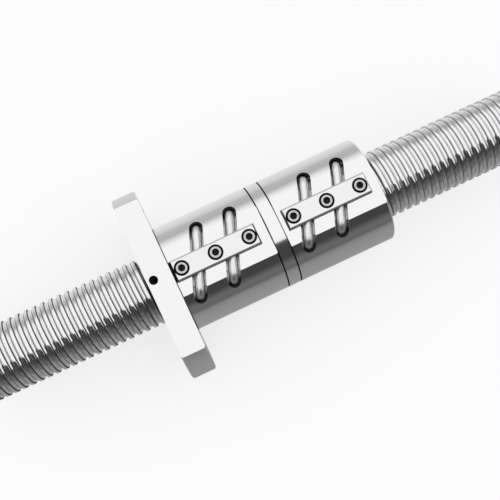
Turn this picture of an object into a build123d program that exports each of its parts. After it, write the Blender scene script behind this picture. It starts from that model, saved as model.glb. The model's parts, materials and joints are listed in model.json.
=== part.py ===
from build123d import *
from math import asin, atan2, cos, degrees, hypot, pi, radians, sin, sqrt, tan
import os

# Double ball screw nut on its screw: a flanged nut and a plain nut held apart by a spacer ring,
# each with two ball circuits whose return tubes lie in slots under a clamp plate.
# Millimetres. X runs along the screw, +Z points out of the flat that carries the tubes,
# and the origin is on the screw's axis in the face where the flange meets its housing.

# Screw
SCREW_D = 40.0                 # outside diameter of the screw's crests
LEAD = 5.0                     # travel in one turn, right-handed
SCREW_START, SCREW_END = -122.0, 223.0
END_CHAMFER = 1.5
BALL_D = 3.175
BALL_CIRCLE_D = SCREW_D + 0.5  # the balls' middles run just outside the screw's crests

# Return tubes
TUBE_D = 5.4
TUBE_BORE_D = BALL_D + 0.325
CORNER = 5.0                   # each bend is a straight piece across the corner, this far along both runs
BEND_PLAY = 0.1
LEG_Y = BALL_CIRCLE_D / 2 - 2.75               # distance of each leg from the nut's middle plane
CIRCUIT_TURNS = 3 - 2 * asin(2 * LEG_Y / BALL_CIRCLE_D) / (2 * pi)
CIRCUIT_ADVANCE = CIRCUIT_TURNS * LEAD
CIRCUIT_PITCH = 4 * LEAD
SLOT_W = TUBE_D + 2.2
SLOT_FLOOR = 1.8               # steel left between a slot and the bore
FOOT_HOLE_D = TUBE_D + 0.1
FOOT_PLAY = 0.2                # between a leg's foot and the bore
FIRST_TUBE_X = 15.5            # middle of the first tube, from the flange
FIRST_TUBE_PLAIN_X = 16.5      # the same from the plain nut's inner face

# Nut bodies, sized from the bore outwards
BORE_D = SCREW_D + 0.6         # the nut's lands run clear of the screw's crests
FLAT_Z = BORE_D / 2 + SLOT_FLOOR + TUBE_D      # height of the milled flat over the axis
FLAT_DEPTH = 3.5
NUT_D = 2 * (FLAT_Z + FLAT_DEPTH)              # 62, which fits the housing bore
SPACER_W = 7.0                 # its width sets the preload
EDGE = 0.8                     # broken edges of the turned parts
ROOT = 0.5                     # bevel left in the root of the flange, where the milled flat stops too

# Flange
FLANGE_RIM = 24.0              # its round edge stands this far out of the body
FLANGE_D = NUT_D + 2 * FLANGE_RIM
FLANGE_T = 14.0
FLANGE_FLATS = NUT_D + 4       # across the two parallel flats
BOLT_PCD = (NUT_D + FLANGE_D) / 2
BOLT_ANGLES = (-30, 0, 30, 150, 180, 210)
BOLT_HOLE_D = 9.0
COUNTERBORE_D, COUNTERBORE_DEPTH = 14.0, 8.6

# Grease port in the flange's upper flat
PORT_X = -10.3
PORT_D, PORT_DEPTH = 5.0, 6.0
DRILLING_D = 2.5
DRILLING_X = -2.5              # where the slanting drilling reaches the bore

# Felt wipers at both ends
FELT_WALL = 3.34
WIPER_SEAT_T = 5.0
WIPER_PLAY = 0.08              # all round the felt, which can turn in its seat
WIPER_BORE_D = SCREW_D + 2 * WIPER_PLAY
WIPER_D = WIPER_BORE_D + 2 * FELT_WALL
WIPER_SEAT_D = WIPER_D + 2 * WIPER_PLAY

# Clamp plates and their screws
PLATE_W, PLATE_T = 12.0, 2.9
PLATE_EDGE = 0.8               # bevel round a plate's upper face
PLATE_GAP, PLATE_MARGIN = 1.0, 6.0             # from the flange to the first plate, and on to the nut's end
PLATE_GAP_PLAIN, PLATE_MARGIN_PLAIN = 3.5, 5.5
SCREW_PITCH = CIRCUIT_PITCH
SCREW_INSET = 5.0
PLATE_L = 2 * (SCREW_PITCH + SCREW_INSET)
HEAD_D, HEAD_H = 7.0, 2.2
HEAD_POCKET_D, HEAD_FLOOR = HEAD_D + 1.5, 1.1
SHANK_D, SHANK_L = 4.0, 6.0
SHANK_PLAY = 0.1
HEX_AF, HEX_DEPTH = 3.0, 1.4

# Pins that stop the nuts turning against the spacer
PIN_D, PIN_L = 3.0, 13.0
PIN_Y = (BORE_D + NUT_D) / 4

TAPPED_DEPTH = SHANK_L - HEAD_FLOOR + 0.8
FLANGED_BODY = PLATE_GAP + PLATE_L + PLATE_MARGIN   # length of the flanged nut in front of its flange
PLAIN_BODY = PLATE_GAP_PLAIN + PLATE_L + PLATE_MARGIN_PLAIN
PIN_START = FLANGED_BODY + (SPACER_W - PIN_L) / 2
PIN_PLACES = ((PIN_Y, 0), (-PIN_Y, 0))
CENTRE = [(0, 0)]
BOLT_PLACES = [(BOLT_PCD / 2 * cos(radians(a)), BOLT_PCD / 2 * sin(radians(a))) for a in BOLT_ANGLES]
PLAIN_START = FLANGED_BODY + SPACER_W
PLAIN_END = PLAIN_START + PLAIN_BODY
TUBE_Z = FLAT_Z - TUBE_D / 2   # the tube is held between the slot's floor and the plate
BEND_ROOM = CORNER + TUBE_D / 2 * tan(radians(22.5)) + BEND_PLAY
LEG_FOOT_Z = sqrt((BORE_D / 2) ** 2 - (LEG_Y - TUBE_D / 2) ** 2) + FOOT_PLAY
FOOT_HOLE_END_Z = sqrt((BALL_CIRCLE_D / 2) ** 2 - LEG_Y ** 2) - BALL_D / 2
ALONG_X = Plane.YZ

os.makedirs("parts", exist_ok=True)


def finish(builder, label):
    builder.part.label = label
    export_step(builder.part, f"parts/{label}.step")


def at_x(x):
    """The sketch plane across the screw at x, with its normal along +X."""
    return ALONG_X.offset(x)


def ring(start, length, outer_d, inner_d):
    """Turned ring along X."""
    with BuildSketch(at_x(start)) as section:
        Circle(outer_d / 2)
        Circle(inner_d / 2, mode=Mode.SUBTRACT)
    extrude(section.sketch, amount=length)


def holes(plane, places, diameter, depth):
    """Round holes of one size, from the plane along its normal, or against it if depth is negative."""
    with BuildSketch(plane) as mouths:
        with Locations(*places):
            Circle(diameter / 2)
    extrude(mouths.sketch, amount=depth, mode=Mode.SUBTRACT)


def tube_middles(first):
    return [first + k * CIRCUIT_PITCH for k in range(2)]


def screw_places(plate_start):
    return [(plate_start + PLATE_L / 2 + k * SCREW_PITCH, 0) for k in (-1, 0, 1)]


def tube_ends(middle_x):
    """Upper and lower leg of a tube, seen on the flat."""
    half = CIRCUIT_ADVANCE / 2
    return (middle_x + half, LEG_Y), (middle_x - half, -LEG_Y)


def tube_seat(middle_x):
    """Slanting slot for the tube, with a pocket under each bend and holes to the ball track."""
    upper, lower = tube_ends(middle_x)
    length = hypot(upper[0] - lower[0], upper[1] - lower[1])
    slant = degrees(atan2(upper[1] - lower[1], upper[0] - lower[0]))
    with BuildSketch(Plane.XY.offset(FLAT_Z - TUBE_D)) as slot:
        with Locations((middle_x, 0)):
            SlotCenterToCenter(length, SLOT_W, rotation=slant)
    extrude(slot.sketch, amount=NUT_D / 2 - FLAT_Z + TUBE_D, mode=Mode.SUBTRACT)
    with BuildSketch(Plane.XY.offset(TUBE_Z - BEND_ROOM)) as pockets:
        for end in (1, -1):
            along = end * (length - BEND_ROOM) / 2
            with Locations((middle_x + along * cos(radians(slant)), along * sin(radians(slant)))):
                Rectangle(BEND_ROOM, SLOT_W, rotation=slant)
    extrude(pockets.sketch, amount=BEND_ROOM, mode=Mode.SUBTRACT)
    holes(Plane.XY.offset(FOOT_HOLE_END_Z), (upper, lower), FOOT_HOLE_D, NUT_D / 2 - FOOT_HOLE_END_Z)


def tube_flat(flat_start, body_end, first_tube, plate_start):
    """Milled flat, its tube seats and the tapped holes for the clamp screws."""
    with BuildSketch(Plane.XY.offset(FLAT_Z)) as flat:
        with Locations(((flat_start + body_end) / 2, 0)):
            Rectangle(body_end - flat_start, NUT_D)
    extrude(flat.sketch, amount=NUT_D / 2, mode=Mode.SUBTRACT)
    for middle_x in tube_middles(first_tube):
        tube_seat(middle_x)
    holes(Plane.XY.offset(FLAT_Z), screw_places(plate_start), SHANK_D + SHANK_PLAY, -TAPPED_DEPTH)


# Flanged nut
with BuildPart() as flanged_nut:
    with BuildSketch(at_x(-FLANGE_T)):
        Circle(FLANGE_D / 2)
        Rectangle(FLANGE_D, FLANGE_FLATS, mode=Mode.INTERSECT)
    extrude(amount=FLANGE_T)
    chamfer(flanged_nut.edges().filter_by(GeomType.CIRCLE), EDGE)
    with BuildSketch(at_x(0)):
        Circle(NUT_D / 2 + ROOT)
    extrude(amount=ROOT, taper=45)
    with BuildSketch(at_x(0)):
        Circle(NUT_D / 2)
    extrude(amount=FLANGED_BODY)
    chamfer(flanged_nut.faces().sort_by(Axis.X)[-1].edges(), EDGE)
    tube_flat(ROOT, FLANGED_BODY, FIRST_TUBE_X, PLATE_GAP)
    holes(at_x(-FLANGE_T), CENTRE, BORE_D, FLANGE_T + FLANGED_BODY)
    holes(at_x(-FLANGE_T), CENTRE, WIPER_SEAT_D, WIPER_SEAT_T)
    holes(at_x(-FLANGE_T), BOLT_PLACES, BOLT_HOLE_D, FLANGE_T)
    holes(at_x(-FLANGE_T), BOLT_PLACES, COUNTERBORE_D, COUNTERBORE_DEPTH)
    holes(Plane.XY.offset(FLANGE_FLATS / 2), [(PORT_X, 0)], PORT_D, -PORT_DEPTH)
    port_bottom = Vector(PORT_X, 0, FLANGE_FLATS / 2 - PORT_DEPTH + 1)
    bore_mouth = Vector(DRILLING_X, 0, BORE_D / 2 - 1)
    drilling = bore_mouth - port_bottom
    holes(Plane(port_bottom, z_dir=drilling), CENTRE, DRILLING_D, drilling.length)
    holes(at_x(PIN_START), PIN_PLACES, PIN_D, PIN_L)
finish(flanged_nut, "flanged_nut")

# Plain nut
with BuildPart() as plain_nut:
    with BuildSketch(at_x(PLAIN_START)):
        Circle(NUT_D / 2)
    extrude(amount=PLAIN_BODY)
    chamfer(plain_nut.edges().filter_by(GeomType.CIRCLE), EDGE)
    tube_flat(PLAIN_START, PLAIN_END, PLAIN_START + FIRST_TUBE_PLAIN_X, PLAIN_START + PLATE_GAP_PLAIN)
    holes(at_x(PLAIN_START), CENTRE, BORE_D, PLAIN_BODY)
    holes(at_x(PLAIN_END), CENTRE, WIPER_SEAT_D, -WIPER_SEAT_T)
    holes(at_x(PIN_START), PIN_PLACES, PIN_D, PIN_L)
finish(plain_nut, "plain_nut")

# Spacer ring between the two nuts
with BuildPart() as spacer_ring:
    with BuildSketch(at_x(FLANGED_BODY)):
        Circle(NUT_D / 2)
    extrude(amount=SPACER_W)
    holes(at_x(FLANGED_BODY), CENTRE, BORE_D, SPACER_W)
    holes(at_x(PIN_START), PIN_PLACES, PIN_D, PIN_L)
finish(spacer_ring, "spacer_ring")

# Locking pins through the spacer into both nuts
for number, place in enumerate(PIN_PLACES, 1):
    with BuildPart() as locking_pin:
        with BuildSketch(at_x(PIN_START)):
            with Locations(place):
                Circle(PIN_D / 2)
        extrude(amount=PIN_L)
    finish(locking_pin, f"locking_pin_{number}")

# Return tubes, one for each ball circuit
middles = tube_middles(FIRST_TUBE_X) + tube_middles(PLAIN_START + FIRST_TUBE_PLAIN_X)
for number, middle_x in enumerate(middles, 1):
    upper, lower = [Vector(*end, TUBE_Z) for end in tube_ends(middle_x)]
    across = (lower - upper).normalized() * CORNER
    down = Vector(0, 0, -CORNER)
    foot = Vector(0, 0, LEG_FOOT_Z - TUBE_Z)
    with BuildPart() as return_tube:
        with BuildLine() as route:
            Polyline(upper + foot, upper + down, upper + across, lower - across, lower + down, lower + foot)
        with BuildSketch(Plane(upper + foot)):
            Circle(TUBE_D / 2)
            Circle(TUBE_BORE_D / 2, mode=Mode.SUBTRACT)
        sweep(path=route.line, transition=Transition.RIGHT)
    finish(return_tube, f"return_tube_{number}")

# Clamp plates
all_places = (screw_places(PLATE_GAP), screw_places(PLAIN_START + PLATE_GAP_PLAIN))
for number, places in enumerate(all_places, 1):
    middle = places[1]
    with BuildPart() as clamp_plate:
        with BuildSketch(Plane.XY.offset(FLAT_Z)):
            with Locations(middle):
                Rectangle(PLATE_L, PLATE_W)
            with Locations(*places):
                Circle((SHANK_D + 3 * SHANK_PLAY) / 2, mode=Mode.SUBTRACT)
        extrude(amount=PLATE_T)
        chamfer(clamp_plate.faces().sort_by(Axis.Z)[-1].outer_wire().edges(), PLATE_EDGE)
        with BuildSketch(Plane.XY.offset(FLAT_Z + HEAD_FLOOR)):
            with Locations(*places):
                Circle(HEAD_POCKET_D / 2)
        extrude(amount=PLATE_T, mode=Mode.SUBTRACT)
    finish(clamp_plate, f"clamp_plate_{number}")

# Clamp screws
for number, place in enumerate(all_places[0] + all_places[1], 1):
    with BuildPart() as clamp_screw:
        with BuildSketch(Plane.XY.offset(FLAT_Z + HEAD_FLOOR)):
            with Locations(place):
                Circle(HEAD_D / 2)
        extrude(amount=HEAD_H)
        with BuildSketch(Plane.XY.offset(FLAT_Z + HEAD_FLOOR + HEAD_H)):
            with Locations(place):
                RegularPolygon(HEX_AF / 2, 6, major_radius=False)
        extrude(amount=-HEX_DEPTH, mode=Mode.SUBTRACT)
        with BuildSketch(Plane.XY.offset(FLAT_Z + HEAD_FLOOR)):
            with Locations(place):
                Circle(SHANK_D / 2)
        extrude(amount=-SHANK_L)
    finish(clamp_screw, f"clamp_screw_{number}")

# Felt wipers, one in a seat at each outer end
for end, seat_start in (("flange", -FLANGE_T), ("front", PLAIN_END - WIPER_SEAT_T)):
    with BuildPart() as felt_wiper:
        ring(seat_start + WIPER_PLAY, WIPER_SEAT_T - 2 * WIPER_PLAY, WIPER_D, WIPER_BORE_D)
    finish(felt_wiper, f"felt_wiper_{end}")

# Screw shaft
with BuildPart() as screw_shaft:
    with BuildSketch(at_x(SCREW_START)):
        Circle(SCREW_D / 2)
    extrude(amount=SCREW_END - SCREW_START)
    chamfer(screw_shaft.edges(), END_CHAMFER)
finish(screw_shaft, "screw_shaft")
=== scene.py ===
# %% [markdown]
# # Ball screw nut
# A ball screw turns rotation into straight travel. Balls roll in a helical track between the screw and the
# nut, and a return tube carries them back to the start of their circuit. Here two nuts share one screw, and
# the spacer ring between them takes up all play.
#
# The imported model is the fixed frame. Its pieces already have the right size and place, so this lesson adds
# what the solids leave plain: the screw's track, the bent tubes, the screw heads, the felt, the finishes of
# the steel with shade painted into its hollows and joints, the studio and the camera.

# %% Load the frame
import json
from math import asin, cos, degrees, pi, radians, sin, sqrt, tan

import bmesh
import bpy
from mathutils import Matrix, Vector


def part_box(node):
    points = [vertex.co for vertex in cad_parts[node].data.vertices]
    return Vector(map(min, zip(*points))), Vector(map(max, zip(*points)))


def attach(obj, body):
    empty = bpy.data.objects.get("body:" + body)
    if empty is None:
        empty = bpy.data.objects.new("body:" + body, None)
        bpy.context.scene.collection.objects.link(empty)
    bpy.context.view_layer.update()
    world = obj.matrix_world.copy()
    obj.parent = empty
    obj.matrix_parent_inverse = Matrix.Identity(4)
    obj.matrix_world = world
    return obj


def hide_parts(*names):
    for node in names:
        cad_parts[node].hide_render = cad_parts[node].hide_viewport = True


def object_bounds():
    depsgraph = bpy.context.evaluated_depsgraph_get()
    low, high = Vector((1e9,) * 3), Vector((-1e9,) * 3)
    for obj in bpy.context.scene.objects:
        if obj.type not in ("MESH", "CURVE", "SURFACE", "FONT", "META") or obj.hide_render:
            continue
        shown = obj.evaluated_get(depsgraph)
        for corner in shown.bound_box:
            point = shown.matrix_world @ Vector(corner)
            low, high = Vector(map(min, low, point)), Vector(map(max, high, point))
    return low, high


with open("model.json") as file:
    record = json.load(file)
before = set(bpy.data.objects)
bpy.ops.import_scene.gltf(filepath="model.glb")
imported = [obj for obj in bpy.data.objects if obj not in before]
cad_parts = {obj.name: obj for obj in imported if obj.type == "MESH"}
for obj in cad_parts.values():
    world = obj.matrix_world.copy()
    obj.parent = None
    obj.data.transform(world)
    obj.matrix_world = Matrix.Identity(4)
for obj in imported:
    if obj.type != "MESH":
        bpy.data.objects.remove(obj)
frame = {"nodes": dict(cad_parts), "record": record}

MM = 0.001
nodes = frame["nodes"]
cad_box = [list(corner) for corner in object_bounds()]
print("nodes:", len(nodes))
print("CAD box, mm:", [[round(v / MM, 2) for v in corner] for corner in cad_box])

# %% [markdown]
# ## Working by hand, in code
# Every operator acts on what is selected, and loading the frame leaves its nodes selected. So each step
# starts from an empty selection, and faces are then picked by which way they look.

# %% Selection helpers
def only(obj):
    """Select this object alone and make it active."""
    bpy.ops.object.select_all(action="DESELECT")
    obj.select_set(True)
    bpy.context.view_layer.objects.active = obj
    return obj


def named(name):
    """Name the new primitive, and put its place into its mesh, so that the object sits at the origin."""
    obj = only(bpy.context.object)
    obj.name = obj.data.name = name
    bpy.ops.object.transform_apply(location=True, rotation=True, scale=True)
    return obj


def edit(mode="FACE", action="DESELECT"):
    """Enter edit mode, to work on points or faces."""
    bpy.ops.object.mode_set(mode="EDIT")
    bpy.ops.mesh.select_mode(type=mode)
    bpy.ops.mesh.select_all(action=action)


def pick_faces(obj, test):
    """In edit mode, select only the faces whose normal passes the test."""
    bpy.ops.mesh.select_all(action="DESELECT")
    mesh = bmesh.from_edit_mesh(obj.data)
    for face in mesh.faces:
        if test(face.normal):
            face.select_set(True)
    bmesh.update_edit_mesh(obj.data)


print("selected after loading:", len(bpy.context.selected_objects))

# %% Finishing helpers
SAME_PLACE = 0.002 * MM             # points nearer to each other than this are one point


def merge_doubles():
    """In edit mode, merge the points that lie on each other."""
    bpy.ops.mesh.select_all(action="SELECT")
    bpy.ops.mesh.remove_doubles(threshold=SAME_PLACE)


def face_outwards():
    """In edit mode, turn every face outwards, and leave it."""
    bpy.ops.mesh.select_all(action="SELECT")
    bpy.ops.mesh.normals_make_consistent(inside=False)
    bpy.ops.object.mode_set(mode="OBJECT")


def apply(obj, modifier):
    """Make what the modifier shows part of the mesh."""
    only(obj)
    bpy.ops.object.modifier_apply(modifier=modifier.name)


def triangles(obj):
    obj.data.calc_loop_triangles()
    return len(obj.data.loop_triangles)


def seat(obj, body, slot, *replaced):
    """The finished piece moves with its body and stands for the plain solids."""
    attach(obj, body)
    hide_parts(*replaced)
    print(obj.name, "triangles:", triangles(obj), "for", *replaced)


print("points are one under, mm:", SAME_PLACE / MM)

# %% [markdown]
# ## The screw's ball track
# The track is ground into the screw as a helix: a round groove a little wider than the ball, with a narrow
# land left between its turns. It could be cut with a boolean, but a swept section is cleaner: one pitch of
# the section goes round the axis while it moves along by one lead, and a Screw modifier does just that.
#
# The section starts as a plane merged to a single point, which is extruded step by step along the groove.

# %% Sizes of the screw
shaft_low, shaft_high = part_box("screw_shaft")
SCREW_R = shaft_high.z
LEAD = 5 * MM
BALL_R = 3.175 / 2 * MM
BALL_RISE = 0.25 * MM               # the balls' middles run just outside the lands
BALL_CIRCLE_R = SCREW_R + BALL_RISE
GROOVE_R = 1.04 * BALL_R            # the groove is ground a little wider than the ball
LAND_BEVEL = 0.12 * MM              # stoned edge between groove and land
ARC_SHARE = 0.97                    # the round of the groove ends just before that edge
RELIEF_W, RELIEF_DEPTH = 0.4 * MM, 0.15 * MM    # slot at its bottom, which clears the wheel and holds oil
GROOVE_STEPS = 8
TURN_STEPS = 72
print("screw, mm:", round(2 * SCREW_R / MM, 2), "by", round((shaft_high.x - shaft_low.x) / MM, 1))

# %% Section of one pitch
half_mouth = sqrt(GROOVE_R ** 2 - (BALL_CIRCLE_R - SCREW_R) ** 2)
mouth_angle = asin(half_mouth / GROOVE_R)
section = [(-half_mouth - LAND_BEVEL, SCREW_R)]
for step in range(GROOVE_STEPS + 1):
    angle = ARC_SHARE * mouth_angle * (2 * step / GROOVE_STEPS - 1)
    if step == GROOVE_STEPS // 2:
        bottom = BALL_CIRCLE_R - GROOVE_R
        section += [(-RELIEF_W / 2, bottom), (-RELIEF_W / 4, bottom - RELIEF_DEPTH),
                    (RELIEF_W / 4, bottom - RELIEF_DEPTH), (RELIEF_W / 2, bottom)]
    else:
        section.append((GROOVE_R * sin(angle), BALL_CIRCLE_R - GROOVE_R * cos(angle)))
section.append((half_mouth + LAND_BEVEL, SCREW_R))
section.append((LEAD - half_mouth - LAND_BEVEL, SCREW_R))
print("groove mouth, mm:", round(2 * half_mouth / MM, 2), "land:", round((LEAD - 2 * half_mouth) / MM, 2))

# %% Sweep it along the screw
SPARE_TURNS = 3                     # half of them before the screw's low end, half after its high end
turns = int((shaft_high.x - shaft_low.x) / LEAD) + SPARE_TURNS
start_x = shaft_low.x - SPARE_TURNS / 2 * LEAD

bpy.ops.object.select_all(action="DESELECT")
bpy.ops.mesh.primitive_plane_add(size=MM, location=(0, 0, 0))
thread = named("screw_thread")
edit("VERT", "SELECT")
bpy.ops.mesh.merge(type="CENTER")
bpy.ops.transform.translate(value=(start_x + section[0][0], 0, section[0][1]))
for (x0, r0), (x1, r1) in zip(section, section[1:]):
    bpy.ops.mesh.extrude_vertices_move(TRANSFORM_OT_translate={"value": (x1 - x0, 0, r1 - r0)})
bpy.ops.object.mode_set(mode="OBJECT")
sweep = thread.modifiers.new("Sweep", "SCREW")
sweep.axis = "X"
sweep.screw_offset = LEAD
sweep.iterations = turns
sweep.steps = sweep.render_steps = TURN_STEPS
sweep.use_merge_vertices = False
apply(thread, sweep)
print("turns:", turns, "thread triangles:", triangles(thread))

# %% [markdown]
# The sweep is longer than the screw, so both ends are cut square and filled. The chamfer that lets a nut be
# wound on is turned last: a second cut marks where it starts, and every point nearer to the end is brought in
# under a cone. Bisect would leave points that lie within a tenth of a millimetre of its plane, which is too
# coarse here, so it gets a finer threshold.

# %% Cut and chamfer the ends
END_CHAMFER = 1.5 * MM
CUT_SLACK = 0.001 * MM
THREAD_CREASE = 35                  # degrees, from which an edge is shown sharp

edit("VERT", "SELECT")
merge_doubles()
for end, inward in ((shaft_low.x, 1), (shaft_high.x, -1)):
    for cut_x, is_end in ((end, True), (end + inward * END_CHAMFER, False)):
        bpy.ops.mesh.select_all(action="SELECT")
        bpy.ops.mesh.bisect(plane_co=(cut_x, 0, 0), plane_no=(inward, 0, 0), clear_inner=is_end,
                            use_fill=is_end, threshold=CUT_SLACK)
mesh = bmesh.from_edit_mesh(thread.data)
for vert in mesh.verts:
    room = min(vert.co.x - shaft_low.x, shaft_high.x - vert.co.x)
    limit = SCREW_R - END_CHAMFER + max(room, 0)
    radius = sqrt(vert.co.y ** 2 + vert.co.z ** 2)
    if radius > limit:
        vert.co.y *= limit / radius
        vert.co.z *= limit / radius
bmesh.update_edit_mesh(thread.data)
face_outwards()
only(thread)
bpy.ops.object.shade_smooth_by_angle(angle=radians(THREAD_CREASE))
seat(thread, "screw", "bright_steel", "screw_shaft")

# %% [markdown]
# ## The return tubes
# Each circuit has a tube bent from steel pipe. Its two legs reach down to the ball track, and the part
# between them lies slanting in its slot. The solids cut its corners with straight pieces. Here a ring of
# points is extruded up a leg, spun through a quarter turn, pushed along the slot, spun down and extruded to
# the other foot, as a pipe bender would go along it. Solidify then gives the ring its wall. A bevelled curve
# would be quicker, but it has no wall and no bore.

# %% Bend one tube
TUBE_R = 2.7 * MM
TUBE_WALL = 0.95 * MM
TUBE_ROUND = 32
BEND_R = 6.2 * MM                   # of the middle line, which keeps the bends inside the nut's cylinder
BEND_STEPS = 10
TUBE_CREASE = 40                    # degrees


def bent_tube(name, low, high):
    """A tube inside this box, with its upper leg at the corner of high x and high y."""
    near = Vector((low.x + TUBE_R, low.y + TUBE_R, low.z))
    far = Vector((high.x - TUBE_R, high.y - TUBE_R, low.z))
    run = far - near
    along = run.normalized()
    rise = Vector((0, 0, high.z - TUBE_R - BEND_R - low.z))
    axis = along.cross(Vector((0, 0, 1)))

    bpy.ops.object.select_all(action="DESELECT")
    bpy.ops.mesh.primitive_circle_add(vertices=TUBE_ROUND, radius=TUBE_R, location=near)
    tube = named(name)
    edit("VERT", "SELECT")
    bpy.ops.mesh.extrude_region_move(TRANSFORM_OT_translate={"value": rise})
    bpy.ops.mesh.spin(steps=BEND_STEPS, angle=pi / 2, center=near + rise + along * BEND_R, axis=axis)
    bpy.ops.mesh.extrude_region_move(TRANSFORM_OT_translate={"value": run - 2 * BEND_R * along})
    bpy.ops.mesh.spin(steps=BEND_STEPS, angle=pi / 2, center=far + rise - along * BEND_R, axis=axis)
    bpy.ops.mesh.extrude_region_move(TRANSFORM_OT_translate={"value": -rise})
    merge_doubles()
    face_outwards()
    wall = tube.modifiers.new("Wall", "SOLIDIFY")
    wall.thickness = TUBE_WALL
    wall.offset = -1.0
    apply(tube, wall)
    bpy.ops.object.shade_smooth_by_angle(angle=radians(TUBE_CREASE))
    return tube


print("tube, mm:", round(2 * TUBE_R / MM, 2), "outside,", round(2 * (TUBE_R - TUBE_WALL) / MM, 2), "inside")

# %% Four tubes, each from its own solid's box
tubes = []
for number in range(1, 5):
    node = f"return_tube_{number}"
    tubes.append(bent_tube(f"bent_tube_{number}", *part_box(node)))
    seat(tubes[-1], "nut_unit", "tube_steel", node)

# %% [markdown]
# ## The clamp screws
# Each plate is held by three low socket head screws, sunk in counterbores. A cylinder is bevelled round its
# top, inset to the mouth of the socket and pushed in. The points of that round mouth are then moved onto a
# hexagon, so the chamfer at the mouth of the key socket comes out by itself. A boolean with a hexagonal prism
# would cut the socket too, but leaves long thin faces round it. One screw is modelled, and copied five times.

# %% Head of one screw, with its top at the origin
HEAD_R, HEAD_H = 3.5 * MM, 2.2 * MM
HEAD_BEVEL = 0.55 * MM
MOUTH_R = 2.0 * MM                  # chamfered mouth of the key socket
MOUTH_DEPTH = 0.3 * MM
HEX_AF = 3.0 * MM
HEX_DEPTH = 1.4 * MM
DRILL_POINT = HEX_AF / 6            # the cone that the drill left under the hexagon
HEX_SIDE = pi / 3                   # angle that one side takes up
HEAD_ROUND = 48                     # points round the head, eight for each side of the hexagon
STRAIGHT = 0.99                     # a face with this much of its normal upwards lies level

bpy.ops.object.select_all(action="DESELECT")
bpy.ops.mesh.primitive_cylinder_add(vertices=HEAD_ROUND, radius=HEAD_R, depth=HEAD_H,
                                    location=(0, 0, -HEAD_H / 2))
head = named("socket_screw")
edit()
pick_faces(head, lambda normal: normal.z > STRAIGHT)
bpy.ops.mesh.bevel(offset=HEAD_BEVEL, segments=2, affect="EDGES")
pick_faces(head, lambda normal: normal.z > STRAIGHT)
bpy.ops.mesh.inset(thickness=HEAD_R - HEAD_BEVEL - MOUTH_R)
bpy.ops.mesh.extrude_region_move(TRANSFORM_OT_translate={"value": (0, 0, -MOUTH_DEPTH)})
mesh = bmesh.from_edit_mesh(head.data)
for vert in (v for v in mesh.verts if v.select):
    spot = Vector((vert.co.x, vert.co.y))
    turned = spot.angle_signed(Vector((1, 0))) % HEX_SIDE
    reach = HEX_AF / 2 / cos(turned - HEX_SIDE / 2) / spot.length
    vert.co.x *= reach
    vert.co.y *= reach
bmesh.update_edit_mesh(head.data)
bpy.ops.mesh.extrude_region_move(TRANSFORM_OT_translate={"value": (0, 0, MOUTH_DEPTH - HEX_DEPTH)})
bpy.ops.mesh.extrude_region_move(TRANSFORM_OT_translate={"value": (0, 0, -DRILL_POINT)})
bpy.ops.mesh.merge(type="CENTER")
print("head, mm:", round(2 * HEAD_R / MM, 2), "by", round(HEAD_H / MM, 2))

# %% Its shank
SHANK_R = 2.0 * MM
POINT_BEVEL = 0.5 * MM
HEAD_CREASE = 30                    # degrees
screw_low, screw_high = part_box("clamp_screw_1")
shank_length = screw_high.z - screw_low.z - HEAD_H

pick_faces(head, lambda normal: normal.z < -STRAIGHT)
bpy.ops.mesh.inset(thickness=HEAD_R - SHANK_R)
bpy.ops.mesh.extrude_region_move(TRANSFORM_OT_translate={"value": (0, 0, -shank_length)})
bpy.ops.mesh.bevel(offset=POINT_BEVEL, segments=1, affect="EDGES")
face_outwards()
only(head)
bpy.ops.object.shade_smooth_by_angle(angle=radians(HEAD_CREASE))
print("one clamp screw, triangles:", triangles(head), "shank, mm:", round(shank_length / MM, 2))

# %% Copy it to its six places
def copy_to(model, name, place):
    """A twin with its own mesh, which holds its place."""
    twin = model.copy()
    twin.data = model.data.copy()
    twin.name = twin.data.name = name
    twin.data.transform(Matrix.Translation(place))
    bpy.context.scene.collection.objects.link(twin)
    return twin


clamp_screws = []
for number in range(1, 7):
    node = f"clamp_screw_{number}"
    low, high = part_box(node)
    top_middle = Vector(((low.x + high.x) / 2, (low.y + high.y) / 2, high.z))
    clamp_screws.append(copy_to(head, f"socket_screw_{number}", top_middle))
    seat(clamp_screws[-1], "nut_unit", "screw_steel", node)
bpy.data.objects.remove(head)

# %% [markdown]
# ## The felt wipers
# A felt ring in each outer end keeps dirt out of the track. Felt is soft, so its edges are round and its
# faces aren't quite flat. A torus has no flat sides, so the ring is a bevelled section spun once round the
# screw, and a cloud texture pushes its skin in and out by a few hundredths of a millimetre.

# %% Spin a felt ring
FELT_EDGE = 0.9 * MM
FELT_STEPS = 160
FELT_NAP = 0.12 * MM
FELT_PLAY = 0.1 * MM                # between the ring and the screw's lands
NAP_SIZE = 0.6 * MM                 # how far the soft humps of the skin lie apart

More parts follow.
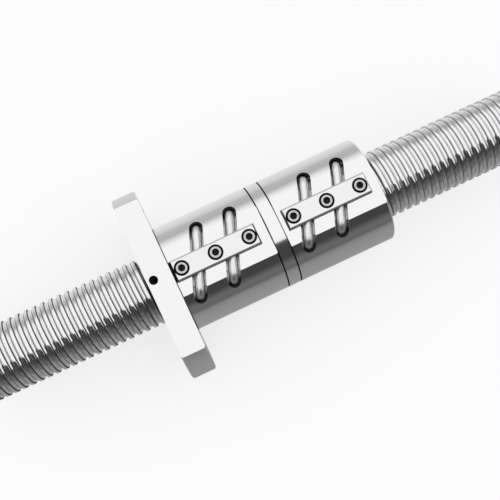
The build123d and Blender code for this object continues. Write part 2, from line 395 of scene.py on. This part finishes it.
clouds = bpy.data.textures.new("felt_nap", "CLOUDS")
clouds.noise_scale = NAP_SIZE
felts = []
for end in ("front", "flange"):
    node = f"felt_wiper_{end}"
    low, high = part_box(node)
    outer = high.z - FELT_NAP
    inner = SCREW_R + FELT_PLAY
    depth = high.x - low.x - 2 * FELT_NAP
    middle = Vector(((low.x + high.x) / 2, 0, (outer + inner) / 2))
    bpy.ops.object.select_all(action="DESELECT")
    bpy.ops.mesh.primitive_plane_add(size=1.0, location=middle, rotation=(pi / 2, 0, 0))
    felt = bpy.context.object
    felt.scale = (depth, outer - inner, 1)
    felt = named(f"felt_ring_{end}")
    edit("VERT", "SELECT")
    bpy.ops.mesh.bevel(offset=FELT_EDGE, segments=4, affect="VERTICES")
    bpy.ops.mesh.select_all(action="SELECT")
    bpy.ops.mesh.delete(type="ONLY_FACE")
    bpy.ops.mesh.select_all(action="SELECT")
    bpy.ops.mesh.subdivide(number_cuts=1)
    bpy.ops.mesh.select_all(action="SELECT")
    bpy.ops.mesh.spin(steps=FELT_STEPS, angle=2 * pi, center=(0, 0, 0), axis=(1, 0, 0))
    merge_doubles()
    face_outwards()
    nap = felt.modifiers.new("Nap", "DISPLACE")
    nap.texture = clouds
    nap.texture_coords = "LOCAL"
    nap.strength = FELT_NAP
    apply(felt, nap)
    bpy.ops.object.shade_smooth()
    seat(felt, "turning_wipers", "felt", node)
    felts.append(felt)

# %% [markdown]
# ## Finishes
# Colours are written as sRGB hex values, as a picture editor shows them, and turned to the linear values that
# the shader works in. One helper adds a node, sets it and links it.

# %% Colour and node helpers
def linear(hex_colour):
    """sRGB hex value to linear red, green, blue and full opacity."""
    channels = [int(hex_colour[i:i + 2], 16) / 255 for i in (1, 3, 5)]
    return [c / 12.92 if c <= 0.04045 else ((c + 0.055) / 1.055) ** 2.4 for c in channels] + [1.0]


def add_node(owner, kind, links=(), inputs=None, **settings):
    """Add a shader node with its own settings, its socket values, and links from (node, output, input)."""
    node = owner.node_tree.nodes.new(kind)
    for key, value in settings.items():
        setattr(node, key, value)
    for key, value in (inputs or {}).items():
        node.inputs[key].default_value = value
    for source, output, target in links:
        owner.node_tree.links.new(source.outputs[output], node.inputs[target])
    return node


def new_material(name):
    """A material with nothing in it."""
    material = bpy.data.materials.new(name)
    material.use_nodes = True
    material.node_tree.nodes.clear()
    return material


def show(material, shader, output="BSDF"):
    """Send the shader to the material's surface."""
    add_node(material, "ShaderNodeOutputMaterial", [(shader, output, "Surface")])
    return material


print("middle grey, linear:", round(linear("#808080")[0], 3))

# %% [markdown]
# ### Steel
# All the metal is steel, and the way each face was finished is what tells the pieces apart. Ground faces are
# bright and carry fine scratches in the direction of the wheel. The flange behind its seat was only turned,
# so it is more matt. Where the wheel didn't reach, shade is painted into the colour as dark as the scale of
# hardening: in the tube slots, the holes and the counterbores, and on the two faces that meet at a joint.
#
# A painted mask could say where that is, but it would need a picture. It also follows from the shape: a point
# of the nut that lies deeper than the ground cylinder and the ground flat has never touched the wheel. So the
# material measures that depth itself, from Object coordinates.

# %% Scratches of a ground surface
GRAIN = 0.4 * MM                    # real scratches are finer, but these are coarse enough to show
SCRATCH_DEPTH = 0.01 * MM
ROUGHNESS_SPREAD = 0.2
NOISE_LOW, NOISE_HIGH = 0.3, 0.7    # a noise rarely leaves this range
ROUND_THE_AXIS = (1.0, 0.15, 0.15)  # how finely the scratches follow each other in x, y and z
ALONG_THE_BAR = (0.12, 1.0, 1.0)
NO_DIRECTION = (1.0, 1.0, 1.0)
DRAWN = (0.5, 0.5, 0.5)             # coarser, and the same all round


def ground(material, coordinates, stretch, roughness, relief):
    """Roughness and bump of a ground face."""
    stretched = add_node(material, "ShaderNodeMapping", [(coordinates, "Object", "Vector")],
                         {"Scale": [share / GRAIN for share in stretch]})
    scratches = add_node(material, "ShaderNodeTexNoise", [(stretched, "Vector", "Vector")],
                         {"Scale": 1.0, "Detail": 3.0, "Roughness": 0.6})
    rough = add_node(material, "ShaderNodeMapRange", [(scratches, "Fac", "Value")],
                     {"From Min": NOISE_LOW, "From Max": NOISE_HIGH,
                      "To Min": (1 - ROUGHNESS_SPREAD) * roughness,
                      "To Max": (1 + ROUGHNESS_SPREAD) * roughness})
    bump = add_node(material, "ShaderNodeBump", [(scratches, "Fac", "Height")],
                    {"Strength": relief, "Distance": SCRATCH_DEPTH})
    return rough, bump


def bright_steel(name, colour, roughness, stretch=ROUND_THE_AXIS, relief=0.3):
    """Steel with the same finish all over."""
    material = new_material(name)
    coordinates = add_node(material, "ShaderNodeTexCoord")
    rough, bump = ground(material, coordinates, stretch, roughness, relief)
    return show(material, add_node(material, "ShaderNodeBsdfPrincipled",
                                   [(rough, "Result", "Roughness"), (bump, "Normal", "Normal")],
                                   {"Base Color": linear(colour), "Metallic": 1.0}))


print("scratches, mm:", round(GRAIN / MM, 2), "apart")

# %% Steel with shade painted into its hollows
PAINTED_SHADE = "#2c2b2b"                   # painted shade for hollows, gaps and joints, as dark as the blue-black scale of hardening
PAINTED_SHADE_ROUGHNESS = 0.55
TURNED_ROUGHER = 0.2                # added to the roughness of a face that was only turned


def steel_with_painted_shade(name, colour, roughness, hollows, stretch=ROUND_THE_AXIS, turned_to=None):
    """Ground steel with shade painted into its hollows. hollows adds the nodes that say where, from 0 to 1.

    Up to turned_to along the screw it was only turned, which leaves it more matt.
    """
    material = new_material(name)
    coordinates = add_node(material, "ShaderNodeTexCoord")
    rough, bump = ground(material, coordinates, stretch, roughness, relief=0.3)
    where = hollows(material, coordinates)
    if turned_to is not None:
        place = add_node(material, "ShaderNodeSeparateXYZ", [(coordinates, "Object", "Vector")])
        turned = add_node(material, "ShaderNodeMath", [(place, "X", 0)], {1: turned_to},
                          operation="LESS_THAN")
        rough = add_node(material, "ShaderNodeMath", [(turned, "Value", 0), (rough, "Result", 2)],
                         {1: TURNED_ROUGHER}, operation="MULTIPLY_ADD")
    # Painted shade: where the mask is 1, the colour and the roughness become those of the dark shade.
    tone = add_node(material, "ShaderNodeMix", [(where, "Value", "Factor")],
                    {"A": linear(colour), "B": linear(PAINTED_SHADE)}, data_type="RGBA")
    rough = add_node(material, "ShaderNodeMix", [(where, "Value", "Factor"), (rough, 0, "A")],
                     {"B": PAINTED_SHADE_ROUGHNESS}, data_type="FLOAT")
    return show(material, add_node(material, "ShaderNodeBsdfPrincipled",
                                   [(tone, "Result", "Base Color"), (rough, "Result", "Roughness"),
                                    (bump, "Normal", "Normal")], {"Metallic": 1.0}))


print("scale, linear:", [round(v, 3) for v in linear(PAINTED_SHADE)])

# %% Where a point lies, and how masks are joined
def axis_distance(material, coordinates):
    """How far a point lies from the screw's axis."""
    across = add_node(material, "ShaderNodeMapping", [(coordinates, "Object", "Vector")],
                      {"Scale": (0, 1, 1)})
    return add_node(material, "ShaderNodeVectorMath", [(across, "Vector", 0)], operation="LENGTH")


def joined(material, operation, first, *others):
    """One value out of many: of masks, MULTIPLY keeps what they share, MAXIMUM all that any of them has."""
    for other in others:
        first = add_node(material, "ShaderNodeMath", [(first, 0, 0), (other, 0, 1)], operation=operation)
    return first


# %% Sizes that tell the nuts' hollows from their ground faces
nut_low, nut_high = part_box("plain_nut")
NUT_R = -nut_low.z                  # ground cylinder
FLAT_Z = nut_high.z                 # ground flat
NUT_EDGE = 0.8 * MM                 # bevel at each end
LEAST_DEPTH = 0.15 * MM
SKIN = 0.02 * MM                    # a mask stops this far before the face beside it
tube_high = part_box("return_tube_1")[1]
SLOT_FLOOR_Z = tube_high.z - 2 * TUBE_R
FLOOR_SKIN = 0.3 * MM               # painted shade also covers this lowest part of a slot's walls
SLOT_END_Y = tube_high.y - TUBE_R
FOOT_WIDTH = 4 * MM
SLOT_SIDE_SHADE = 0.45                 # painted shade along the slots is this share of its strength at their ends, where the holes are
ROOT_BEVEL = 0.5 * MM
ROOT_R = NUT_R + 1.4 * ROOT_BEVEL   # up to here the gap in the flange's root gets painted shade
plate_low, plate_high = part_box("clamp_plate_1")
print("nut radius, mm:", round(NUT_R / MM, 2), "flat at, mm:", round(FLAT_Z / MM, 2))

# %% Slots and holes
def shade_in_hollows(material, place, radius, sideways, from_x, to_x):
    """Painted shade on what lies deeper than the cylinder and the flat, from the slots' floors down, weaker
    along the slots.
    """
    under_round = add_node(material, "ShaderNodeMath", [(radius, "Value", 1)], {0: NUT_R},
                           operation="SUBTRACT")
    under_flat = add_node(material, "ShaderNodeMath", [(place, "Z", 1)], {0: FLAT_Z}, operation="SUBTRACT")
    depth = joined(material, "MINIMUM", under_round, under_flat)
    deep = add_node(material, "ShaderNodeMath", [(depth, "Value", 0)], {1: LEAST_DEPTH},
                    operation="GREATER_THAN")
    between = add_node(material, "ShaderNodeMath", [(place, "X", 0)],
                       {1: (from_x + to_x) / 2, 2: (to_x - from_x) / 2}, operation="COMPARE")
    at_floor = add_node(material, "ShaderNodeMath", [(place, "Z", 0)], {1: SLOT_FLOOR_Z + FLOOR_SKIN},
                        operation="LESS_THAN")
    toward_slot_end = add_node(material, "ShaderNodeMapRange", [(sideways, "Value", "Value")],
                      {"From Min": SLOT_END_Y - FOOT_WIDTH, "From Max": SLOT_END_Y, "To Min": SLOT_SIDE_SHADE})
    return joined(material, "MULTIPLY", deep, between, at_floor, toward_slot_end)


# %% Grease port
grease_port = next(mount for mount in frame["record"]["mounts"] if mount["name"] == "grease_port")
PORT_RIM = 0.1 * MM                 # broken edge of the hole, which gets painted shade too
PORT_X = grease_port["pos_m"][0]
PORT_R = grease_port["dims"]["r_mm"] * MM + PORT_RIM
PORT_TOP = grease_port["pos_m"][2] - LEAST_DEPTH


def port_wall(material, coordinates, place):
    """Painted shade on the wall and bottom of the grease port."""
    centred = add_node(material, "ShaderNodeMapping", [(coordinates, "Object", "Vector")],
                       {"Location": (-PORT_X, 0, 0), "Scale": (1, 1, 0)})
    reach = add_node(material, "ShaderNodeVectorMath", [(centred, "Vector", 0)], operation="LENGTH")
    inside = add_node(material, "ShaderNodeMath", [(reach, "Value", 0)], {1: PORT_R}, operation="LESS_THAN")
    below = add_node(material, "ShaderNodeMath", [(place, "Z", 0)], {1: PORT_TOP}, operation="LESS_THAN")
    return joined(material, "MULTIPLY", inside, below)


print("grease port at x, mm:", round(PORT_X / MM, 2), "radius, mm:", round(PORT_R / MM, 2))

# %% Both nuts
def nut_hollows(from_x, to_x, joint_x, joint_width, with_flange=False):
    """Painted shade in the hollows of a nut, at its joint, in the port and in the root of a flange."""
    def add(material, coordinates):
        place = add_node(material, "ShaderNodeSeparateXYZ", [(coordinates, "Object", "Vector")])
        radius = axis_distance(material, coordinates)
        sideways = add_node(material, "ShaderNodeMath", [(place, "Y", 0)], operation="ABSOLUTE")
        # Painted shade at the joint: the end face and the strip of the flat beside it.
        joint = add_node(material, "ShaderNodeMath", [(place, "X", 0)], {1: joint_x, 2: joint_width},
                         operation="COMPARE")
        masks = [shade_in_hollows(material, place, radius, sideways, from_x, to_x), joint]
        if with_flange:
            masks.append(port_wall(material, coordinates, place))
            # Painted shade in the root of the flange all round, and in the gap between the flange and the
            # first plate.
            for width, away, limit in ((ROOT_BEVEL, radius, ROOT_R), (plate_low.x, sideways, plate_high.y)):
                beside = add_node(material, "ShaderNodeMath", [(place, "X", 0)],
                                  {1: width / 2, 2: width / 2 - SKIN}, operation="COMPARE")
                near = add_node(material, "ShaderNodeMath", [(away, "Value", 0)], {1: limit},
                                operation="LESS_THAN")
                masks.append(joined(material, "MULTIPLY", beside, near))
        return joined(material, "MAXIMUM", *masks)
    return add


NUT_COLOUR, NUT_ROUGHNESS = "#f4f4f5", 0.13     # hardened bearing steel, finely ground
flanged_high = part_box("flanged_nut")[1]
flanged_hollows = nut_hollows(NUT_EDGE, flanged_high.x - NUT_EDGE, flanged_high.x, NUT_EDGE / 2,
                              with_flange=True)
plain_hollows = nut_hollows(nut_low.x + NUT_EDGE, nut_high.x - NUT_EDGE, nut_low.x, NUT_EDGE)
flanged_steel = steel_with_painted_shade("bearing_steel_ground_flanged", NUT_COLOUR, NUT_ROUGHNESS, flanged_hollows,
                             turned_to=0.0)
plain_steel = steel_with_painted_shade("bearing_steel_ground_plain", NUT_COLOUR, NUT_ROUGHNESS, plain_hollows)
print("nut materials:", flanged_steel.name, plain_steel.name)

# %% [markdown]
# ### Plates and screw heads
# The plates are cut from flat bar and ground on top only. Shade is painted into their sides under the bevel
# and into the pockets round the screws. The screw heads are bright on top and painted dark below it, as shade
# in the gap round each head and in its key socket. Each could have two materials on picked faces, but a
# height and a radius already tell the bright faces from the dark ones.

# %% Plates
PLATE_BEVEL = 0.8 * MM
SHADE_TOP = 1.1 * PLATE_BEVEL        # painted shade starts this far under the ground face
POCKET_R = 4.3 * MM
SCREW_PITCH = 20 * MM


def plate_hollows(first_screw_x, top):
    """Painted shade on the edges under the bevel, and in the pockets round the screws."""
    def add(material, coordinates):
        place = add_node(material, "ShaderNodeSeparateXYZ", [(coordinates, "Object", "Vector")])
        edge = add_node(material, "ShaderNodeMath", [(place, "Z", 0)], {1: top - SHADE_TOP},
                        operation="LESS_THAN")
        along = add_node(material, "ShaderNodeMath", [(place, "X", 0)], {1: first_screw_x},
                         operation="SUBTRACT")
        offset = add_node(material, "ShaderNodeMath", [(along, "Value", 0)],
                          {1: SCREW_PITCH / 2, 2: -SCREW_PITCH / 2}, operation="WRAP")
        level = add_node(material, "ShaderNodeCombineXYZ", [(offset, "Value", "X"), (place, "Y", "Y")])
        reach = add_node(material, "ShaderNodeVectorMath", [(level, "Vector", 0)], operation="LENGTH")
        pocket = add_node(material, "ShaderNodeMath", [(reach, "Value", 0)], {1: POCKET_R},
                          operation="LESS_THAN")
        return joined(material, "MAXIMUM", edge, pocket)
    return add


plate_steels = []
for number, screw in ((1, 1), (2, 4)):
    low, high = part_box(f"clamp_screw_{screw}")
    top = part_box(f"clamp_plate_{number}")[1].z
    plate_steels.append(steel_with_painted_shade(f"flat_bar_steel_ground_{number}", "#f0f0f1", 0.2,
                                     plate_hollows((low.x + high.x) / 2, top), stretch=ALONG_THE_BAR))
print("plate materials:", [material.name for material in plate_steels])

# %% Screw heads
BRIGHT_TOP = 0.05 * MM                  # how thin the bright top of each head is, above the painted shade


def head_painted_shade(material, coordinates):
    """Painted shade on everything below the bright top of the heads."""
    place = add_node(material, "ShaderNodeSeparateXYZ", [(coordinates, "Object", "Vector")])
    return add_node(material, "ShaderNodeMath", [(place, "Z", 0)], {1: screw_high.z - BRIGHT_TOP},
                    operation="LESS_THAN")


head_steel = steel_with_painted_shade("screw_steel_painted_shade", "#c8c8ca", 0.25, head_painted_shade, stretch=NO_DIRECTION)
print("heads faced at z, mm:", round((screw_high.z - BRIGHT_TOP) / MM, 2))

# %% [markdown]
# ### Track, spacer, tubes and pins
# The screw's lands and the bottom of its track are ground bright. Shade is painted onto the two steep flanks,
# lighter on one than on the other, as if the light fell from one side. A material can find them by counting:
# x less the lead for each turn round the axis is the same all along the helix, so its fraction of a pitch
# tells one flank from the other, and the distance from the axis tells both from the lands.
#
# Shade is painted on the spacer only on the faces that meet the nuts. The tubes are drawn pipe, which is
# softer in its shine than a ground face, and the dowel pins are ground.

# %% Flanks of the track
FLANK_TOP, FLANK_FOOT = 0.08 * MM, 0.95 * MM    # how far below the land the painted shade on a flank begins and ends
LIGHT_FLANK_SHADE, DARK_FLANK_SHADE = 0.4, 0.9               # how strong the painted shade is on each flank
QUARTER_TURN = 0.25                             # the section was drawn above the axis, not beside it


def flank_painted_shade(material, coordinates):
    """Painted shade on the steep sides of the track, lighter on one side of each groove."""
    place = add_node(material, "ShaderNodeSeparateXYZ", [(coordinates, "Object", "Vector")])
    radius = axis_distance(material, coordinates)
    steep = add_node(material, "ShaderNodeMath", [(radius, "Value", 0)],
                     {1: SCREW_R - (FLANK_TOP + FLANK_FOOT) / 2, 2: (FLANK_FOOT - FLANK_TOP) / 2},
                     operation="COMPARE")
    angle = add_node(material, "ShaderNodeMath", [(place, "Z", 0), (place, "Y", 1)], operation="ARCTAN2")
    turned = add_node(material, "ShaderNodeMath", [(angle, "Value", 0)],
                      {1: -1 / (2 * pi), 2: QUARTER_TURN - start_x / LEAD}, operation="MULTIPLY_ADD")
    pitches = add_node(material, "ShaderNodeMath", [(place, "X", 0), (turned, "Value", 2)], {1: 1 / LEAD},
                       operation="MULTIPLY_ADD")
    in_pitch = add_node(material, "ShaderNodeMath", [(pitches, "Value", 0)], operation="FRACT")
    darker_flank = add_node(material, "ShaderNodeMath", [(in_pitch, "Value", 0)], {1: 0.5},
                        operation="GREATER_THAN")
    flank_shade = add_node(material, "ShaderNodeMapRange", [(darker_flank, "Value", "Value")],
                    {"To Min": LIGHT_FLANK_SHADE, "To Max": DARK_FLANK_SHADE})
    return joined(material, "MULTIPLY", steep, flank_shade)


track_steel = steel_with_painted_shade("screw_steel_ground_bright", "#f2f2f3", 0.12, flank_painted_shade)
print("dark flanks, mm under the land:", FLANK_TOP / MM, "to", FLANK_FOOT / MM)

# %% Spacer, tubes and pins
spacer_low, spacer_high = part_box("spacer_ring")


def spacer_ends(material, coordinates):
    """Painted shade on the two faces that only meet the nuts."""
    place = add_node(material, "ShaderNodeSeparateXYZ", [(coordinates, "Object", "Vector")])
    between = add_node(material, "ShaderNodeMath", [(place, "X", 0)],
                       {1: (spacer_low.x + spacer_high.x) / 2, 2: (spacer_high.x - spacer_low.x) / 2 - SKIN},
                       operation="COMPARE")
    return add_node(material, "ShaderNodeMath", [(between, "Value", 1)], {0: 1.0}, operation="SUBTRACT")


spacer_steel = steel_with_painted_shade("spacer_steel_ground", NUT_COLOUR, NUT_ROUGHNESS, spacer_ends)
tube_steel = bright_steel("tube_steel_drawn", "#efeff0", 0.34, stretch=DRAWN, relief=0.2)
pin_steel = bright_steel("dowel_steel_ground", "#dcdcdd", 0.2)
print("spacer, mm:", round((spacer_high.x - spacer_low.x) / MM, 2), "wide")

# %% [markdown]
# ### Felt
# The wipers are pressed wool felt, grey and soaked with oil. It has no gloss, only a faint sheen of loose
# fibres, and its shade wanders from one tuft to the next. Hair particles could draw every fibre, but a noise
# that moves both the shade and the bump shows the same at this size.

# %% Felt
TUFT = 0.5 * MM                     # tufts, drawn as coarse as they need to show
FUZZ_DEPTH = 0.2 * MM
wool = new_material("wool_felt_pressed")
wool_place = add_node(wool, "ShaderNodeTexCoord")
tufts = add_node(wool, "ShaderNodeTexNoise", [(wool_place, "Object", "Vector")],
                 {"Scale": 1 / TUFT, "Detail": 4.0, "Roughness": 0.7})
shade = add_node(wool, "ShaderNodeMixRGB", [(tufts, "Fac", "Fac")],
                 {"Color1": linear("#1f1e1d"), "Color2": linear("#4a4845")})
fuzz = add_node(wool, "ShaderNodeBump", [(tufts, "Fac", "Height")], {"Strength": 0.8, "Distance": FUZZ_DEPTH})
show(wool, add_node(wool, "ShaderNodeBsdfPrincipled",
                    [(shade, "Color", "Base Color"), (fuzz, "Normal", "Normal")],
                    {"Roughness": 0.95, "Sheen Weight": 0.2, "Specular IOR Level": 0.2}))
print("felt material:", wool.name)

# %% [markdown]
# ### Who wears what
# The finishes are listed by how the names of the nodes start, so one line serves all four tubes. A node that
# stays visible takes its finish in the slots that it came with. A new piece has no slot yet, so the material
# is appended.

# %% Put the finishes on
def dress(obj, material):
    """Put this material in every slot of the object, or in a new one."""
    for material_slot in obj.material_slots:
        material_slot.material = material
    if not obj.material_slots:
        obj.data.materials.append(material)


finishes = {
    "flanged_nut": flanged_steel, "plain_nut": plain_steel, "spacer_ring": spacer_steel,
    "clamp_plate_1": plate_steels[0], "clamp_plate_2": plate_steels[1], "locking_pin": pin_steel,
    "return_tube": tube_steel, "clamp_screw": head_steel, "felt_wiper": wool, "screw_shaft": track_steel,
}
for name, node in nodes.items():
    for start, material in finishes.items():
        if name.startswith(start):
            dress(node, material)
for pieces, material in ((tubes, tube_steel), (clamp_screws, head_steel), (felts, wool),
                         ([thread], track_steel)):
    for piece in pieces:
        dress(piece, material)
print("finishes:", len(finishes))

# %% [markdown]
# ## The studio
# Polished steel shows its surroundings more than itself. Lamps would only draw small highlights on it, so it
# gets a studio to mirror: a white ceiling, grey low walls, and a black flag down one side, which draws the
# dark band along the nut. The camera sees a white background, and every soft surface gets the same plain
# light from all round, because only glossy rays meet the studio.
#
# A world has no walls, only directions. Each runs from -1 to 1 along x, y and z, and z is 1 overhead.

# %% Walls and ceiling
WALL_TOP = 0.45                     # height of a direction where the ceiling takes over from the wall
WALL_GREY = 0.45

world = bpy.data.worlds.new("studio")
bpy.context.scene.world = world
world.use_nodes = True
world.node_tree.nodes.clear()
way = add_node(world, "ShaderNodeTexCoord")
toward = add_node(world, "ShaderNodeSeparateXYZ", [(way, "Generated", "Vector")])
wall = add_node(world, "ShaderNodeMapRange", [(toward, "Z", "Value")],
                {"From Min": 0.0, "From Max": WALL_TOP, "To Min": WALL_GREY, "To Max": 1.0},
                interpolation_type="SMOOTHSTEP")
print("wall to ceiling, degrees:", round(degrees(asin(WALL_TOP)), 1))

# %% Flag
FLAG_EDGE = 28.0                    # degrees from overhead, where the flag begins
EDGE_FROM, EDGE_TO = -0.02, 0.03    # how soft its edge is
FLAG_CUT = 0.4                      # how far its upper edge drops towards +X
CUT_FROM, CUT_TO = 0.2, 0.42        # where in x it drops
FLAG_FOOT, FLAG_BLACK = 0.14, 0.045
FOOT_TOP, BLACK_FROM = 0.17, 0.4    # heights between which it darkens from its foot

flag = add_node(world, "ShaderNodeMapRange", [(toward, "Z", "Value")],
                {"From Min": FOOT_TOP, "From Max": BLACK_FROM, "To Min": FLAG_FOOT, "To Max": FLAG_BLACK})
side = add_node(world, "ShaderNodeMath", [(toward, "Z", 0), (toward, "Y", 2)],
                {1: tan(radians(FLAG_EDGE))}, operation="MULTIPLY_ADD")
cut_away = add_node(world, "ShaderNodeMapRange", [(toward, "X", "Value")],
                    {"From Min": CUT_FROM, "From Max": CUT_TO, "To Min": 0.0, "To Max": FLAG_CUT})
side = add_node(world, "ShaderNodeMath", [(side, "Value", 0), (cut_away, "Result", 1)], operation="ADD")
clear = add_node(world, "ShaderNodeMapRange", [(side, "Value", "Value")],
                 {"From Min": EDGE_FROM, "From Max": EDGE_TO})
mirrored = add_node(world, "ShaderNodeMix",
                    [(clear, "Result", "Factor"), (flag, "Result", "A"), (wall, "Result", "B")],
                    data_type="FLOAT")
print("flag begins, degrees from overhead:", FLAG_EDGE)

# %% Dark ends, and what sees all this
END_FROM, END_TO = 0.7, 0.9         # distance from the middle, in x, over which the studio darkens
LOW_SHARE, HIGH_SHARE = 0.8, 0.12   # what is left of its light at the very end, low and high up
LOW_TO, HIGH_FROM = 0.1, 0.4        # heights of both

off_middle = add_node(world, "ShaderNodeMath", [(toward, "X", 0)], operation="ABSOLUTE")
end_share = add_node(world, "ShaderNodeMapRange", [(toward, "Z", "Value")],
                     {"From Min": LOW_TO, "From Max": HIGH_FROM, "To Min": LOW_SHARE, "To Max": HIGH_SHARE})
ends = add_node(world, "ShaderNodeMapRange",
                [(off_middle, "Value", "Value"), (end_share, "Result", "To Max")],
                {"From Min": END_FROM, "From Max": END_TO, "To Min": 1.0})
mirrored = joined(world, "MULTIPLY", mirrored, ends)
rays = add_node(world, "ShaderNodeLightPath")
strength = add_node(world, "ShaderNodeMix", [(rays, "Is Glossy Ray", "Factor"), (mirrored, "Value", "B")],
                    {"A": 1.0}, data_type="FLOAT")
sky = add_node(world, "ShaderNodeBackground", [(strength, "Result", "Strength")], {"Color": (1, 1, 1, 1)})
add_node(world, "ShaderNodeOutputWorld", [(sky, "Background", "Surface")])
print("world nodes:", len(world.node_tree.nodes))

# %% [markdown]
# ### Floor
# The nut lies on a white painted board. The camera sees it almost pure white, with a part of the real shadow.
# In reflections the board glows with a painted shade, brighter on the open side and darker on the flag's
# side. A reflection could be left to the paint alone, but then the low sides of the nut would be as bright as
# its top.

# %% Floor
FLOOR_SIZE = 8.0
FLOOR_PAINT = "#f8f8f8"
SHADOW_SHARE = 0.3                  # how much of the shadow the camera sees
NEAR, FAR, FLAG_FAR = 0.05, 0.25, 0.6           # where the painted shade of the mirrored floor changes, from the middle
OPEN_NEAR, OPEN_FAR = 0.81, 0.5                 # its brightness on the open side
FLAG_SIDE_NEAR, FLAG_SIDE_FAR = 0.31, 0.12      # and on the flag's side

bpy.ops.object.select_all(action="DESELECT")
bpy.ops.mesh.primitive_plane_add(size=FLOOR_SIZE, location=(0, 0, cad_box[0][2]))
floor = named("floor")
paint = new_material("studio_floor_painted")
floor_place = add_node(paint, "ShaderNodeTexCoord")
across_floor = add_node(paint, "ShaderNodeSeparateXYZ", [(floor_place, "Object", "Vector")])
open_side = add_node(paint, "ShaderNodeMapRange", [(across_floor, "Y", "Value")],
                     {"From Min": NEAR, "From Max": FAR, "To Min": OPEN_NEAR, "To Max": OPEN_FAR})
flag_side = add_node(paint, "ShaderNodeMapRange", [(across_floor, "Y", "Value")],
                     {"From Min": -FLAG_FAR, "From Max": -NEAR,
                      "To Min": FLAG_SIDE_FAR, "To Max": FLAG_SIDE_NEAR})
which_side = add_node(paint, "ShaderNodeMapRange", [(across_floor, "Y", "Value")],
                      {"From Min": -NEAR, "From Max": NEAR})
floor_painted_shade = add_node(paint, "ShaderNodeMix",
                      [(which_side, "Result", "Factor"), (flag_side, "Result", "A"),
                       (open_side, "Result", "B")], data_type="FLOAT")
print("floor at z, mm:", round(cad_box[0][2] / MM, 2))

# %% Its paint
rays = add_node(paint, "ShaderNodeLightPath")
share = add_node(paint, "ShaderNodeMath", [(rays, "Is Camera Ray", 0)], {1: 1 - SHADOW_SHARE},
                 operation="MULTIPLY")
matt = add_node(paint, "ShaderNodeBsdfDiffuse", inputs={"Color": linear(FLOOR_PAINT)})
white = add_node(paint, "ShaderNodeEmission", inputs={"Color": (1, 1, 1, 1), "Strength": 1.0})
seen = add_node(paint, "ShaderNodeMixShader",
                [(share, "Value", 0), (matt, "BSDF", 1), (white, "Emission", 2)])
# Glossy rays see the floor glow with this painted shade instead of its paint.
studio = add_node(paint, "ShaderNodeEmission", [(floor_painted_shade, "Result", "Strength")], {"Color": (1, 1, 1, 1)})
show(paint, add_node(paint, "ShaderNodeMixShader",
                     [(rays, "Is Glossy Ray", 0), (seen, "Shader", 1), (studio, "Emission", 2)]), "Shader")
dress(floor, paint)
print("floor material:", paint.name)

# %% [markdown]
# ## The camera
# The photograph looks almost straight down on the nut, with the screw running up to the right. Turning a
# camera by hand until all edges fit takes long. Here its place and its axes were fitted to points that are
# easy to find in the photograph, such as screw heads and corners, and they are set as one matrix.

# %% Camera
IMAGE = 500                         # the image is square
CAMERA_PLACE = Vector((6.0, -75.15, 539.85)) * MM
CAMERA_RIGHT = Vector((0.90413, -0.42717, 0.00883))
CAMERA_DOWN = Vector((-0.4211, -0.89439, -0.15082))
FOCAL_PIXELS = 958.8
SENSOR_MM = 36.0

camera_data = bpy.data.cameras.new("camera")
camera = bpy.data.objects.new("camera", camera_data)
bpy.context.scene.collection.objects.link(camera)
bpy.context.scene.camera = camera
camera_data.sensor_width = SENSOR_MM
camera_data.lens = FOCAL_PIXELS / IMAGE * SENSOR_MM
camera_data.clip_start, camera_data.clip_end = 0.01, 20.0
camera_back = CAMERA_DOWN.cross(CAMERA_RIGHT).normalized()
aim = Matrix((CAMERA_RIGHT, -CAMERA_DOWN, camera_back)).transposed()
camera.matrix_world = Matrix.Translation(CAMERA_PLACE) @ aim.to_4x4()
print("lens, mm:", round(camera_data.lens, 1))

# %% Picture settings
bpy.context.scene.view_settings.view_transform = "Standard"
print("view transform:", bpy.context.scene.view_settings.view_transform)
